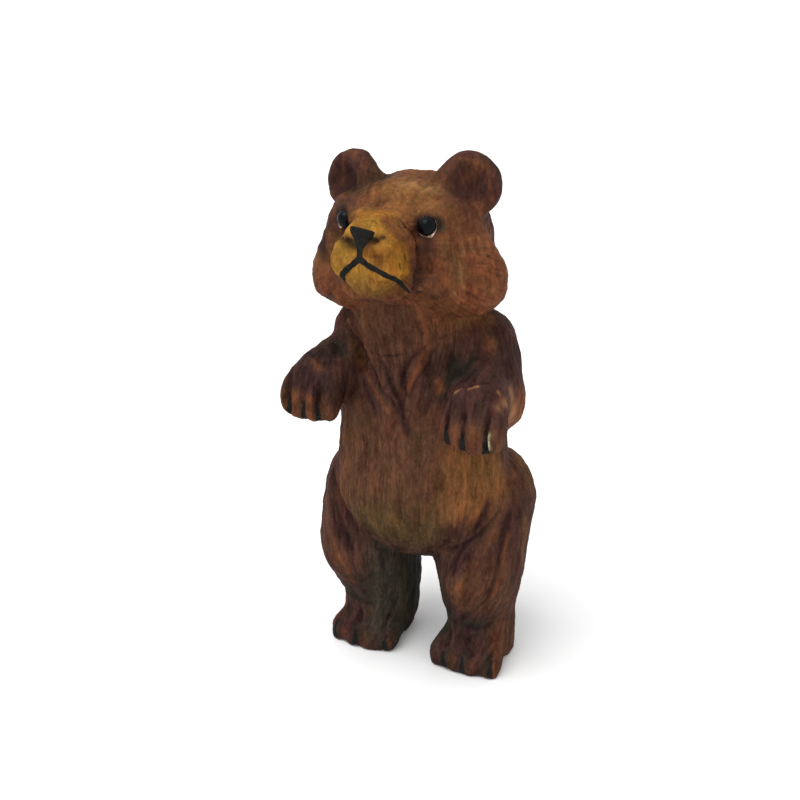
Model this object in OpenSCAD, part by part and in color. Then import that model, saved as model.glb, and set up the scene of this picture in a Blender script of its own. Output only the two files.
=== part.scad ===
// Hand-carved wooden bear that stands on its hind legs, with bead eyes glued into drilled sockets.
// Millimetres. The bear faces -Y, its left side is +X, and +Z is up.
// The origin is on the floor, under the middle of the figure.

/* [Figure] */
// Height from the soles to the top of the ears
height = 90; // [60:5:180]
// Width of the belly
belly_w = 30; // [27:0.5:32]
// Depth of the belly, front to back
belly_d = 26; // [23:0.5:29]
// Width over the thighs
hip_w = 37; // [34:0.5:39]

/* [Head] */
// Width over the cheeks
head_w = 33; // [31:0.5:35]
// Height from the throat to the crown
head_h = 22.6; // [21:0.2:25]
// How far the nose is tipped up, in degrees
head_tilt = 9; // [0:1:18]
// How far the head leans to the right, in degrees
head_lean = 4; // [-6:1:6]
// How far the nose stands in front of the middle of the head
muzzle_reach = 18.2; // [17:0.2:20]
// Width of the muzzle at the mouth
muzzle_w = 12.4; // [11:0.2:14]
// Diameter of an ear
ear_d = 10.2; // [8:0.2:12]

/* [Arms] */
// How far the hands stand in front of the middle of the body
arm_reach = 14; // [12:0.5:17]
// Distance between the middles of the hands
hand_gap = 29; // [27:0.5:32]
// Width of a hand over its fingers
hand_w = 10.4; // [8:0.2:11]

/* [Legs] */
// Height of the arch between the legs
arch_z = 18.8; // [17:0.2:20]
// Distance between the middles of the feet
stance = 19.4; // [18:0.2:21]
// How far the feet stand to the left of the middle
foot_shift = 1; // [-1:0.2:1]
// Width of a foot over its toes
foot_w = 12.6; // [11:0.2:14]
// Length of a foot
foot_l = 19; // [17:0.5:21]

/* [Eyes] */
// Diameter of a bead
bead_d = 3; // [2.4:0.2:3.6]
// Distance between the middles of the beads
eye_gap = 13.6; // [13:0.2:15]

/* [Paint] */
// Width of the painted mouth line
mouth_line = 0.9; // [0.6:0.1:1.4]
// Depth of the painted cuts
cut_depth = 0.6; // [0.4:0.1:0.8]

/* [Hidden] */
k = height / 90;       // the lengths below are for a bear 90 mm tall
sides = 24;            // facets round a large form
small_sides = 16;      // facets round a finger, a toe or a wrist
proud = 0.12;          // how far paint stands out of the wood
fit = 0.02;            // room round a bead in its socket
fingers = [-1.5, -0.5, 0.5, 1.5];
notches = [-1, 0, 1];
middle_y = 3.2;        // moves the figure back, so that the origin is under its middle
head_at = [-0.6, -4.6, 74.5];
left = 1;
right = -1;

// Fingers and toes stand side by side, and the outer ones stand further back.
hand_x = hand_gap / 2 + 0.1;
finger_step = (hand_w - 2.6) / 3;
function hand_y(i) = 0.25 * i * i - arm_reach;
function hand_z(i) = 48.4 + 0.3 * i * i;
function foot_x(side) = stance / 2 + 0.2 + foot_shift * side;
toe_step = (foot_w - 3.4) / 3;
function toe_y(i) = 2.8 - foot_l / 2 + 0.35 * i * i;

// Each form is [middle], [half width, half depth, half height].
wrist = [[hand_gap / 2 - 0.4, 3.8 - arm_reach, 52.4], [4.6, 4.6, 4.4]];
thumb_pad = [[10.8, -5, 55.6], [4.6, 4, 4]];
finger = [1.45, 2.4, 3.6];
tail = [[0.4, 12.6, 26], [3, 3.4, 4.4]];

// Stations of the torso, from the hips up.
torso_forms = [
    [[0.4, 2.5, 28], [belly_w / 2 + 1, belly_d / 2 - 0.8, 28 - arch_z]],
    [[0.2, -1.2, 32.5], [belly_w / 2 + 0.2, belly_d / 2, 32 - arch_z]],
    [[0, -0.5, 46], [belly_w / 2 - 0.6, belly_d / 2 - 1.5, 12]],
    [[-0.2, 0.5, 56], [12.4, 10.4, 8.5]],
    [[-0.4, -2, 66], [11, 10.4, 6]]
];
// Stations of an arm from the shoulder to the elbow, and of a leg from the hip to the ankle.
arm_forms = [
    [[9.9, -0.2, 57.6], [6, 7.6, 6.5]],
    [[12.8, 0.6, 48.4], [4.6, 6.4, 5.4]],
    [[13.4, -4.5, 50.6], [4.5, 5.2, 5.4]]
];
function leg_forms(side) = [
    [[hip_w / 2 - 8.9 - 0.2 * side, 2.9 + 0.6 * side, 28.5], [8.9, 11.6, 28.5 - arch_z]],
    [[stance / 2 + 1.4 + 0.6 * side, -0.6, 19], [7.5 - 0.9 * side, 10, 8.4]],
    [[foot_x(side), 1.6, 9.5], [6 - 0.6 * side, 7.6, 5]],
    [[foot_x(side), 1.6, 4.5], [6 - 0.6 * side, 7.4, 4.5]]
];

// The head's own lengths count from its middle, between the ears and the throat.
ear_at = [9.9, 0, 9.7];
// Rounded corners of the left half of the muzzle, from the nose down to the chin, then the ones at its root:
// [from the middle, ahead, up, radius].
nose_y = 1 - muzzle_reach;
muzzle_corners = [
    [1.9, nose_y + 0.3, 3.7, 1],
    [muzzle_w / 2 - 1.2, nose_y + 0.3, 0.2, 1],
    [muzzle_w / 2 - 1.3, nose_y + 0.6, -3, 1],
    [2.4, nose_y + 1.8, -5.2, 1],
    [2.8, -9, 5.8, 1.2],
    [muzzle_w / 2, -9.5, 2.4, 1.2],
    [muzzle_w / 2 + 0.6, -9.5, -4, 1.2],
    [4, -9, -7, 1.2]
];

// The nose, and the left half of the mouth, as seen from the front of the head.
nose_outline = [[-2.1, 4], [2.1, 4], [0.5, 1.6], [-0.5, 1.6]];
lip = [[0, -0.6], [2.6, -2.4], [4.9, -4]];

// An ellipsoid with its middle at f[0] and its half sizes in f[1], grown all round by grow.
module form(f, grow = 0, fn = sides) translate(f[0]) scale(f[1] + grow * [1, 1, 1]) sphere(1, $fn = fn);

// Forms joined one after the other.
module chain(forms)
    for (i = [0 : len(forms) - 2])
        hull() {
            form(forms[i]);
            form(forms[i + 1]);
        }

module on_side(side) mirror([side == right ? 1 : 0, 0, 0]) children();
module head_frame() translate(head_at) rotate([-head_tilt, -head_lean, 0]) children();

// ---- Limbs, modelled on the left side ----

module arm() {
    chain(arm_forms);
    hull() {
        form(arm_forms[2]);
        form(wrist, fn = small_sides);
        form(thumb_pad, fn = small_sides);
    }
    for (i = fingers)
        hull() {
            form(wrist, fn = small_sides);
            form([[hand_x + i * finger_step, hand_y(i), hand_z(i) + 0.2], finger], fn = small_sides);
        }
}

module foot() {
    hull() {
        translate([0, foot_l / 2 - 6.8, 0]) cylinder(r = foot_w / 2 - 0.9, h = 1.2, $fn = sides);
        form([[0, 1.8, 6], [5.6, 7.2, 4]], fn = small_sides);
    }
    for (i = fingers)
        hull() {
            form([[0, 0.8, 4.6], [5.4, 6.4, 4]], fn = small_sides);
            translate([i * toe_step, toe_y(i), 0]) {
                cylinder(r = 1.8, h = 2, $fn = small_sides);
                form([[0, 0.4, 2.4], [1.8, 2.3, 2.2]], fn = small_sides);
            }
        }
}

module leg(side) {
    chain(leg_forms(side));
    translate([foot_x(side), 0, 0]) foot();
}

// ---- Head, in its own frame ----

module ear()
    translate(ear_at) rotate([0, 0, 20])
        difference() {
            hull() {
                rotate([90, 0, 0]) cylinder(d = ear_d, h = 2, center = true, $fn = sides);
                rotate([90, 0, 0]) cylinder(d = ear_d - 1.4, h = 4, center = true, $fn = sides);
                form([[-4.4, 0.5, -4], [5.2, 3.2, 3.4]], fn = small_sides);
            }
            form([[0.2, -3.3, 0.2], [ear_d / 2 - 1.1, 2.2, ear_d / 2 - 1.1]], fn = small_sides);
        }

module muzzle(grow = 0)
    hull()
        for (side = [left, right], c = muzzle_corners)
            translate([side * c[0], c[1], c[2]]) sphere(r = c[3] + grow, $fn = small_sides);

module head() {
    hull() {
        form([[0, 2.5, 0.6], [12.8, 11, head_h / 2]]);
        form([[0, -4, 2.8], [10.8, 7, 7.8]]);
    }
    for (side = [left, right])
        on_side(side) {
            hull() {
                form([[head_w / 2 - 6.8, -0.8, -4], [6.8, 7.2, 6.5]]);
                form([[6, -4.5, -2], [6, 5, 7]]);
                form([[0, 0, -5], [7, 7, 6]]);
            }
            hull() {
                form([[head_w / 2 - 7.2, -1.6, -3], [6.4, 7, 6]]);
                form([[7.4, -2.6, 3], [5, 7, 6]]);
            }
            ear();
        }
    muzzle();
}

// ---- Eyes: a socket with a countersink, a bead, and a ring of glue round it ----

module eye_frame(side)
    head_frame() translate([side * eye_gap / 2 + 0.5, -9.5, 4.4 - 0.25 * side]) rotate([90, 0, 18 * side])
        children();

module glue_cone()
    translate([0, 0, -0.4]) cylinder(r1 = bead_d / 2 - 0.05, r2 = bead_d / 2 + 0.3, h = 1, $fn = 32);

module socket(side)
    eye_frame(side) {
        sphere(d = bead_d + 2 * fit, $fn = 32);
        glue_cone();
        translate([0, 0, 0.6])
            cylinder(r1 = bead_d / 2 + 0.3, r2 = bead_d / 2 + 1.5, h = 2, $fn = 32);
    }

// ---- Paint: it fills shallow cuts, drawn from the front of the head ----

// A stroke from a to b, drawn in X and Z, that reaches from the front of the nose back by depth.
module stroke(a, b, w, depth)
    translate([0, depth - muzzle_reach, 0]) rotate([90, 0, 0]) linear_extrude(height = depth + 3)
        hull() {
            translate(a) circle(d = w, $fn = 16);
            translate(b) circle(d = w, $fn = 16);
        }

module nose_shape() {
    translate([0, 5 - muzzle_reach, 0]) rotate([90, 0, 0]) linear_extrude(height = 8) polygon(nose_outline);
    stroke([0, 1.7], [0, 0], 1, 5);
}

module mouth_shape()
    for (side = [left, right])
        on_side(side) {
            stroke(lip[0], lip[1], mouth_line, 6);
            stroke(lip[1], lip[2], mouth_line, 6);
        }

// The part of a shape that lies in the skin of the muzzle, from cut_depth below the wood to grow above it.
module painted(grow)
    head_frame() intersection() {
        children();
        difference() {
            muzzle(grow);
            muzzle(-cut_depth);
        }
    }

// ---- Claws: black wedges between the fingers and toes ----

// One wedge, from a narrow top that lies back by back to a wide foot that is long below it.
module claw(long, back)
    hull() {
        form([[0, back, 0], [0.15, 0.9, 0.3]], fn = 8);
        form([[0, 0, -long], [0.55, 0.9, 0.7]], fn = 8);
    }

module fore_claws()
    for (i = notches)
        translate([hand_x + i * finger_step, hand_y(i) - 1.2, hand_z(i) + 2]) claw(4.4, -0.1);

module hind_claws(side)
    translate([foot_x(side), 0, 0])
        for (i = notches)
            translate([i * toe_step, toe_y(i) - 0.9, 4.4]) claw(3.2, 0.9);

// ---- Nodes ----

module below_floor() translate([-40, -40, -20]) cube([80, 80, 20]);

// The figure stands with the origin under its middle.
module placed() scale(k) translate([0, middle_y, 0]) children();

module carved_body()
    color("saddlebrown") placed()
        difference() {
            union() {
                chain(torso_forms);
                form(tail);
                for (side = [left, right])
                    on_side(side) {
                        arm();
                        leg(side);
                    }
                head_frame() head();
            }
            for (side = [left, right]) {
                socket(side);
                on_side(side) fore_claws();
                on_side(side) hind_claws(side);
            }
            painted(2) nose_shape();
            painted(2) mouth_shape();
            below_floor();
        }

module eye(side) color("black") placed() eye_frame(side) sphere(d = bead_d, $fn = 32);

module eye_glue(side)
    color("bisque") placed() eye_frame(side)
        difference() {
            glue_cone();
            sphere(d = bead_d, $fn = 32);
        }

module nose_paint() color("darkslategray") placed() painted(proud) nose_shape();
module mouth_paint() color("darkslategray") placed() painted(proud) mouth_shape();

module claws_fore(side) color("black") placed() on_side(side) fore_claws();
module claws_hind(side) color("black") placed() on_side(side) hind_claws(side);

carved_body();
eye(left);  // eye_left
eye(right);  // eye_right
eye_glue(left);  // eye_glue_left
eye_glue(right);  // eye_glue_right
nose_paint();
mouth_paint();
claws_fore(left);  // claws_fore_left
claws_fore(right);  // claws_fore_right
claws_hind(left);  // claws_hind_left
claws_hind(right);  // claws_hind_right
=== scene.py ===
"""Looks of the hand-carved bear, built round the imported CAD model: cuts, stain, paint, beads and glue."""
import math

import bmesh
import bpy
import numpy as np
from mathutils import Matrix, Vector
from mathutils.bvhtree import BVHTree


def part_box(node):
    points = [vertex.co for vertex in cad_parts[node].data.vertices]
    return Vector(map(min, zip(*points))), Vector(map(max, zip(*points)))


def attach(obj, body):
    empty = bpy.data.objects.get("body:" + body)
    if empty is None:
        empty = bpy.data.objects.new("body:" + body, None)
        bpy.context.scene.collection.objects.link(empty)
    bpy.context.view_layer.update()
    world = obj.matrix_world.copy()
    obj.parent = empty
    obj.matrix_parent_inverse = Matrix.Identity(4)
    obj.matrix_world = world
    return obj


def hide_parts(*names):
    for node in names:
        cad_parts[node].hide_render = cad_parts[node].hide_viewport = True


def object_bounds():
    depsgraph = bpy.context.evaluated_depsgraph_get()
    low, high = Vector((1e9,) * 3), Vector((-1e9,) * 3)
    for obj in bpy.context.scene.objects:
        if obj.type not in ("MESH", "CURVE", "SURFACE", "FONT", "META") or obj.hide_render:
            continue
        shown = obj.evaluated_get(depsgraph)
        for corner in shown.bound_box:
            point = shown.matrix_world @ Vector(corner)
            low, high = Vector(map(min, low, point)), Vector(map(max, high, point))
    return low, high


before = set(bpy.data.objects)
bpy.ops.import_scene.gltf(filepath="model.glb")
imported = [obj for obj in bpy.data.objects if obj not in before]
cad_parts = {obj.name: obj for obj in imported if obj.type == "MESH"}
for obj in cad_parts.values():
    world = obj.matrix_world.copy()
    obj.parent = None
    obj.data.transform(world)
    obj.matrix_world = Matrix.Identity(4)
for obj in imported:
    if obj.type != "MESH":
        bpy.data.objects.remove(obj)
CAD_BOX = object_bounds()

SEED = 7
MM = 0.001
DRAWN_TALL = 90             # the shapes below are drawn for a bear this many mm tall
UNIT = CAD_BOX[1].z / MM / DRAWN_TALL
VOXEL = 0.5 * MM * UNIT     # size of the remeshed quads, before they are split in four
WELD = 0.001 * MM           # points of the CAD nodes that are closer than this are one
LEFT, RIGHT = 1, -1


def mm(*xyz):
    """A point or a list of lengths in mm at this bear's size."""
    return np.array(xyz, float) * UNIT


def middle(node):
    """The middle of a CAD node's box, in mm."""
    low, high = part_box(node)
    return np.array((low + high) / 2) / MM


EYE = {LEFT: middle("eye_left"), RIGHT: middle("eye_right")}
BEAD_R = (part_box("eye_left")[1].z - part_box("eye_left")[0].z) / 2 / MM


# ---- Small numpy tools ----

def unit(v):
    """v, or each row of v, at length 1."""
    return v / np.maximum(np.linalg.norm(v, axis=-1, keepdims=True), 1e-9)


def smooth_step(x, low, high):
    """0 up to low, 1 from high on, and smooth between."""
    t = np.clip((x - low) / (high - low), 0, 1)
    return t * t * (3 - 2 * t)


def to_segment(p, a, b):
    """Distance from each point to the segment a-b, and how far along it the nearest place is, 0 to 1."""
    ab = b - a
    t = np.clip((p - a) @ ab / (ab @ ab), 0, 1)
    return np.linalg.norm(p - a - t[:, None] * ab, axis=1), t


def mirrored(point, side):
    """A point given for the left, on the given side."""
    return np.array(point, float) * (side, 1, 1)


def on_side(line, side):
    """A line of points given for the left, on the given side."""
    return [mirrored(point, side) for point in line]


# ---- The skin: the block's surface as arrays, in mm ----

class Skin:
    """The surface of the block. at holds its points in mm, out its normals, and a third array how dark the
    knife cuts make the points near them, 0 to 1: stain that pools there, and painted shade."""

    def __init__(self, mesh):
        self.mesh = mesh
        count = len(mesh.vertices)
        self.at = np.empty(count * 3)
        mesh.vertices.foreach_get("co", self.at)
        self.at = self.at.reshape(-1, 3) / MM
        self.quads = np.empty(len(mesh.polygons) * 4, np.int64)
        mesh.polygons.foreach_get("vertices", self.quads)
        self.quads = self.quads.reshape(-1, 4)
        self.edges = np.empty(len(mesh.edges) * 2, np.int64)
        mesh.edges.foreach_get("vertices", self.edges)
        self.edges = self.edges.reshape(-1, 2)
        self.valence = np.bincount(self.edges.ravel(), minlength=count)[:, None]
        self.pooled_stain_and_shade = np.zeros(count)
        self.update()

    def update(self):
        """Works the normals out again after the points have moved."""
        corner = self.at[self.quads]
        face = np.cross(corner[:, 2] - corner[:, 0], corner[:, 3] - corner[:, 1])
        out = np.zeros_like(self.at)
        for axis in range(3):
            out[:, axis] = np.bincount(self.quads.ravel(), np.repeat(face[:, axis], 4), len(self.at))
        self.out = unit(out)

    def average(self, values, rounds):
        """values smoothed over the surface."""
        count = len(self.at)
        values = values.reshape(count, -1)
        a, b = self.edges.T
        for _ in range(rounds):
            total = np.empty_like(values)
            for k in range(values.shape[1]):
                total[:, k] = np.bincount(a, values[b, k], count) + np.bincount(b, values[a, k], count)
            values = 0.5 * values + 0.5 * total / self.valence
        return values

    def around(self):
        """Each point and its neighbours over the corners of its quads, as a table of point numbers."""
        count, most = len(self.at), 10
        keys = [self.quads[:, i] * count + self.quads[:, j] for i in range(4) for j in range(4) if i != j]
        point, other = np.divmod(np.unique(np.concatenate(keys)), count)
        rank = 1 + np.arange(len(point)) - np.searchsorted(point, point)
        table = np.repeat(np.arange(count)[:, None], most, axis=1)
        table[point[rank < most], rank[rank < most]] = other[rank < most]
        return table

    def push(self, amount):
        """Moves each point out along its normal by amount, in mm."""
        self.at += self.out * np.asarray(amount)[:, None]
        self.update()

    def relief(self, rounds):
        """How far each point stands out of its surroundings, in mm."""
        return ((self.at - self.average(self.at, rounds)) * self.out).sum(1)

    def store(self):
        """Writes the points back to the mesh."""
        self.mesh.vertices.foreach_set("co", (self.at * MM).ravel())
        self.mesh.update()

    def paint(self, name, values):
        """Stores a number or a vector for each point, which the material reads by name."""
        kind, key = ("FLOAT", "value") if np.ndim(values) == 1 else ("FLOAT_VECTOR", "vector")
        layer = self.mesh.attributes.new(name, kind, "POINT")
        layer.data.foreach_set(key, np.asarray(values, np.float32).ravel())


def new_object(name, data):
    """Puts a mesh, a lamp or a camera in the scene."""
    made = bpy.data.objects.new(name, data)
    bpy.context.scene.collection.objects.link(made)
    return made


def with_modifiers(piece):
    """The piece's mesh with its modifiers applied, as a new mesh."""
    graph = bpy.context.evaluated_depsgraph_get()
    return bpy.data.meshes.new_from_object(piece.evaluated_get(graph))


def block_mesh():
    """The CAD block with its cuts filled by what lies in them, as even quads."""
    whole = bmesh.new()
    for name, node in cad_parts.items():
        if not name.startswith("eye"):
            whole.from_mesh(node.data)
    bmesh.ops.remove_doubles(whole, verts=whole.verts, dist=WELD)
    mesh = bpy.data.meshes.new("block")
    whole.to_mesh(mesh)
    whole.free()
    piece = new_object("block", mesh)
    remesh = piece.modifiers.new("remesh", "REMESH")
    remesh.mode, remesh.voxel_size = "VOXEL", VOXEL
    smooth = piece.modifiers.new("smooth", "SMOOTH")
    smooth.factor, smooth.iterations = 0.5, 9
    split = piece.modifiers.new("split", "SUBSURF")
    split.levels = split.render_levels = 1
    made = with_modifiers(piece)
    bpy.data.objects.remove(piece)
    made.materials.clear()
    return made


# ---- Where the limbs run: the cuts follow them ----

def limbs():
    """Each limb as (start, end, reach, direction of the cuts), in mm at 90 mm tall."""
    down = (0, 0, -1)
    found = [
        ((0, 2, 60), (0, 3, 26), 12, down),
        ((0, -1, 70), (0, -6, 84), 9, (0, 0.6, 0.7)),
    ]
    for side in (LEFT, RIGHT):
        for start, end, reach, cuts in (
            ((10, 3, 60), (13, 4, 49), 5, down),
            ((13, 0, 50), (14, -7, 54), 4.5, (0.1, -1, 0.1)),
            ((14.5, -9, 54), (15, -11.5, 47), 4, (0, -0.3, -1)),
            ((13, 4, 32), (10.5, 2, 18), 7, (-0.55, -0.1, -0.85)),
            ((10, 4, 14), (10, 5, 8), 6, down),
            ((10, 2, 4), (10, -4, 2), 5, (0, -1, -0.4)),
            ((10, -1, 80), (10, -1, 88), 4, (0, 0, 1)),
        ):
            found.append((mirrored(start, side), mirrored(end, side), reach, mirrored(cuts, side)))
    return found


def flow_of(skin):
    """The way the cuts run at each point, along the surface. On the chest and the face they fan out."""
    fan = 3
    flow = np.zeros_like(skin.at)
    for start, end, reach, cuts in limbs():
        away, _ = to_segment(skin.at, mm(*start), mm(*end))
        flow += np.exp(-2 * (away / (reach * UNIT)) ** 2)[:, None] * unit(np.array(cuts, float))
    chest = np.exp(-((skin.at - mm(0.5, -7, 57)) ** 2).sum(1) / (8 * UNIT) ** 2)[:, None]
    flow += fan * chest * unit(mm(2, -12, 36) - skin.at)
    face = np.exp(-((skin.at - mm(0, -8, 76)) ** 2).sum(1) / (11 * UNIT) ** 2)[:, None]
    flow += fan * face * unit(skin.at - mm(0, -20, 78))
    flow -= (flow * skin.out).sum(1, keepdims=True) * skin.out
    return unit(flow + 1e-6)


class Comb:
    """Trails that run from each point both ways along the flow, to draw marks out into streaks."""

    def __init__(self, skin, flow, count):
        self.trails = [np.arange(len(skin.at))]
        around = skin.around()
        step = VOXEL / MM / 2
        for way in (1, -1):
            now, place = self.trails[0], skin.at
            for _ in range(count):
                place = place + way * step * flow[now]
                off = place - skin.at[now]
                place = place - (off * skin.out[now]).sum(1, keepdims=True) * skin.out[now]
                near = around[now]
                nearest = ((skin.at[near] - place[:, None]) ** 2).sum(2).argmin(1)
                now = near[np.arange(len(near)), nearest]
                self.trails.append(now)

    def draw(self, values):
        """values drawn out along the trails, with a mean of 0 and a spread of 1."""
        total = sum(values[trail] for trail in self.trails)
        total = total - total.mean()
        return total / total.std()


# ---- Cuts ----

def seeds(skin, spacing, random):
    """Points spread over the skin, about one in each cell of that size."""
    order = random.permutation(len(skin.at))
    cell = np.floor(skin.at[order] / spacing).astype(np.int64)
    row = 4096
    _, first = np.unique(cell @ (1, row, row ** 2), return_index=True)
    return order[np.sort(first)]


class Neighbours:
    """Finds the points near a place, from a grid of cells."""

    def __init__(self, points, size):
        self.size = size
        cell = np.floor(points / size).astype(np.int64)
        order = np.lexsort(cell.T)
        edges = np.flatnonzero(np.any(np.diff(cell[order], axis=0), axis=1)) + 1
        self.cells = {tuple(cell[part[0]]): part for part in np.split(order, edges)}

    def near(self, place):
        """The numbers of the points in the place's cell and the cells round it."""
        x, y, z = np.floor(place / self.size).astype(np.int64)
        span = (-1, 0, 1)
        found = [self.cells.get((x + i, y + j, z + k)) for i in span for j in span for k in span]
        return np.concatenate([part for part in found if part is not None])


def gouge(skin, flow, random, strength, spacing, length, width, depth):
    """Covers the skin with shallow strokes along the flow, their sizes in mm at 90 mm tall. Returns the
    shade of each point's stroke, -1 to 1."""
    spacing, length, width, depth = mm(spacing, length, width, depth)
    cut = np.zeros(len(skin.at))
    shade = np.zeros(len(skin.at))
    finder = Neighbours(skin.at, length * 0.62)
    for seed in seeds(skin, spacing, random):
        n, along = skin.out[seed], flow[seed]
        askew = along + 0.15 * random.normal() * np.cross(n, along)
        along = askew / np.linalg.norm(askew)
        across = np.cross(n, along)
        size, wide = length * random.uniform(0.6, 1.1), width * random.uniform(0.7, 1.25)
        deep, tone = depth * random.uniform(0.4, 1.2) * strength[seed], random.uniform(-1, 1)
        near = finder.near(skin.at[seed])
        off = skin.at[near] - skin.at[seed]
        u, w, lift = off @ along / size + 0.5, off @ across / wide, off @ n
        inside = (u > 0) & (u < 1) & (abs(w) < 1) & (abs(lift) < width) & (skin.out[near] @ n > 0.4)
        near, u, w = near[inside], u[inside], w[inside]
        dug = deep * (1 - w * w) * np.sin(math.pi * u ** 0.7)
        deeper = dug > cut[near]
        cut[near[deeper]] = dug[deeper]
        shade[near[deeper]] = tone
    skin.push(np.median(cut) - cut)
    return shade


def along_line(skin, line):
    """Each point's distance from a line, how far along it the nearest place is, and the way there."""
    points = [mm(*p) for p in line]
    best, place = np.full(len(skin.at), 1e9), np.zeros(len(skin.at))
    off, before = np.zeros_like(skin.at), 0
    for a, b in zip(points[:-1], points[1:]):
        away, t = to_segment(skin.at, a, b)
        size, nearer = np.linalg.norm(b - a), away < best
        best[nearer], place[nearer] = away[nearer], before + t[nearer] * size
        off[nearer] = (skin.at - a - t[:, None] * (b - a))[nearer]
        before += size
    return best, place / before, off


CUT_DARK_REACH, CUT_DARK_MOST = 0.34, 0.85      # how far from a cut, in mm, it is darkened by stain that pools and by painted shade, and how much at most


def knife(skin, line, width, depth, slope=None, broad=0.0):
    """One knife cut along a line of points, in mm at 90 mm tall: half its width, and its depth halfway.
    With a slope, a direction, that side of the cut falls away gently over a breadth of broad."""
    away, place, off = along_line(skin, line)
    fade = np.sin(math.pi * np.clip(place, 0.04, 0.96)) ** 0.5
    reach = np.full(len(skin.at), float(width))
    if slope is not None:
        reach = np.where(off @ unit(np.array(slope, float)) > 0, broad, width)
    cut = depth * UNIT * fade * np.clip(1 - away / (reach * UNIT * fade), 0, 1) ** 1.3
    # How dark the cut makes the skin near it: stain that pools there, and painted shade.
    cut_darkening = np.exp(-(away / (CUT_DARK_REACH * UNIT)) ** 2) * np.clip(1.1 * depth, 0, CUT_DARK_MOST) * fade
    skin.pooled_stain_and_shade = np.maximum(skin.pooled_stain_and_shade, cut_darkening)
    skin.push(-cut)


def swell(skin, place, radii, amount, facing=None):
    """Raises, or with a negative amount hollows, the skin round a place."""
    off = (skin.at - mm(*place)) / mm(*radii)
    weight = np.exp(-(off ** 2).sum(1))
    if facing is not None:
        weight *= smooth_step(skin.out @ unit(np.array(facing, float)), -0.2, 0.4)
    skin.push(amount * UNIT * weight)


def flatten(skin, place, normal, radius, keep=0.15):
    """Pares the skin down to a plane near a place, as one long knife stroke does."""
    n = unit(np.array(normal, float))
    off = skin.at - mm(*place)
    above = np.maximum(off @ n, 0) * smooth_step(skin.out @ n, 0.0, 0.3)
    weight = 1 - smooth_step(np.linalg.norm(off, axis=1), 0.7 * radius * UNIT, radius * UNIT)
    skin.at -= (above * weight * (1 - keep))[:, None] * n
    skin.update()


def soften(skin, place, radius, rounds):
    """Rubs the skin smooth round a place."""
    away = np.linalg.norm(skin.at - mm(*place), axis=1)
    weight = 1 - smooth_step(away, 0.6 * radius * UNIT, radius * UNIT)
    skin.at += weight[:, None] * (skin.average(skin.at, rounds) - skin.at)
    skin.update()


# ---- The head's own axes, from the beads ----

NOSE_UP, LEAN = math.radians(9), math.radians(4)
HEAD_TURN = np.array(Matrix.Rotation(-LEAN, 3, "Y") @ Matrix.Rotation(-NOSE_UP, 3, "X"))
BETWEEN_EYES = np.array((0.5, -9.5, 4.4))


def head(x, y, z):
    """A place on the head as a point in mm at 90 mm tall: x to its left, -y ahead, z up from its middle."""
    place = (EYE[LEFT] + EYE[RIGHT]) / 2 / UNIT
    return place + HEAD_TURN @ (np.array((x, y, z), float) - BETWEEN_EYES)


def turned(x, y, z):
    """A direction on the head."""
    return HEAD_TURN @ np.array((x, y, z), float)


def on_head(points):
    """Points in mm, in the head's own axes at 90 mm tall."""
    return (points / UNIT - head(0, 0, 0)) @ HEAD_TURN


# ---- Carving the block ----

# Half the muzzle's width, and how far the wood round each bead is raised.
MUZZLE_HALF = {LEFT: 5.2, RIGHT: 4.4}
LID_RISE = {LEFT: 0.95, RIGHT: 1.5}
CRACKS = ([head(5.2, -15, -0.9), head(5.2, -14.8, -1.7)], [head(5.6, -13.4, 0.2), head(5.6, -13.4, -0.5)])


def carve_muzzle(skin, side):
    """One side's planes, the hollow beside the nose, the pad of the lip, and the cut at the cheek."""
    half, ahead = MUZZLE_HALF[side], turned(0, -1, 0)
    flatten(skin, head(side * half, -13, -0.5), turned(side, -0.08, 0.15), 6.5, keep=0.1)
    flatten(skin, head(side * (half - 1.5), -15.2, 3.2), turned(side * 0.72, -0.2, 0.66), 4.4, keep=0.1)
    flatten(skin, head(side * (half - 1), -15.5, -3.2), turned(side * 0.66, -0.2, -0.72), 4.6, keep=0.1)
    flatten(skin, head(side * (half - 0.3), -16.9, -0.4), turned(side * 0.75, -0.66, 0), 3.4, keep=0.5)
    swell(skin, head(side * 2.8, -17.2, 2.5), (1.8, 1.5, 0.7), -0.8, ahead)
    swell(skin, head(side * 2.5, -17.4, -0.6), (2.0, 2, 1.5), 0.3, ahead)
    swell(skin, head(side * 1.8, -17, -3.4), (2.2, 2, 1.2), -0.25, ahead)
    root = [(3.6, -12.2, 5.4), (6.0, -10.7, 2.4), (6.3, -10.3, -1.5), (5.8, -11.4, -5)]
    knife(skin, [head(side * x, y, z) for x, y, z in root], 0.45, 0.8, turned(side * 0.3, 1, 0), 3.6)


def carve_eye(skin, side):
    """The lids round a bead, the hollows at its corners, and the brow."""
    eye = EYE[side] / UNIT
    swell(skin, eye + turned(0, 0.6, 0), (3.2, 3, 2.9), LID_RISE[side])
    swell(skin, eye + turned(side * 2.2, 0.6, 0.3), (1.2, 2, 1.2), -1.1)
    swell(skin, eye + turned(-side * 1.9, 0.2, -0.4), (0.8, 2, 0.9), -0.4)
    swell(skin, eye + turned(0, 0.5, 3.2), (3.4, 3, 1.3), 0.25)


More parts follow.
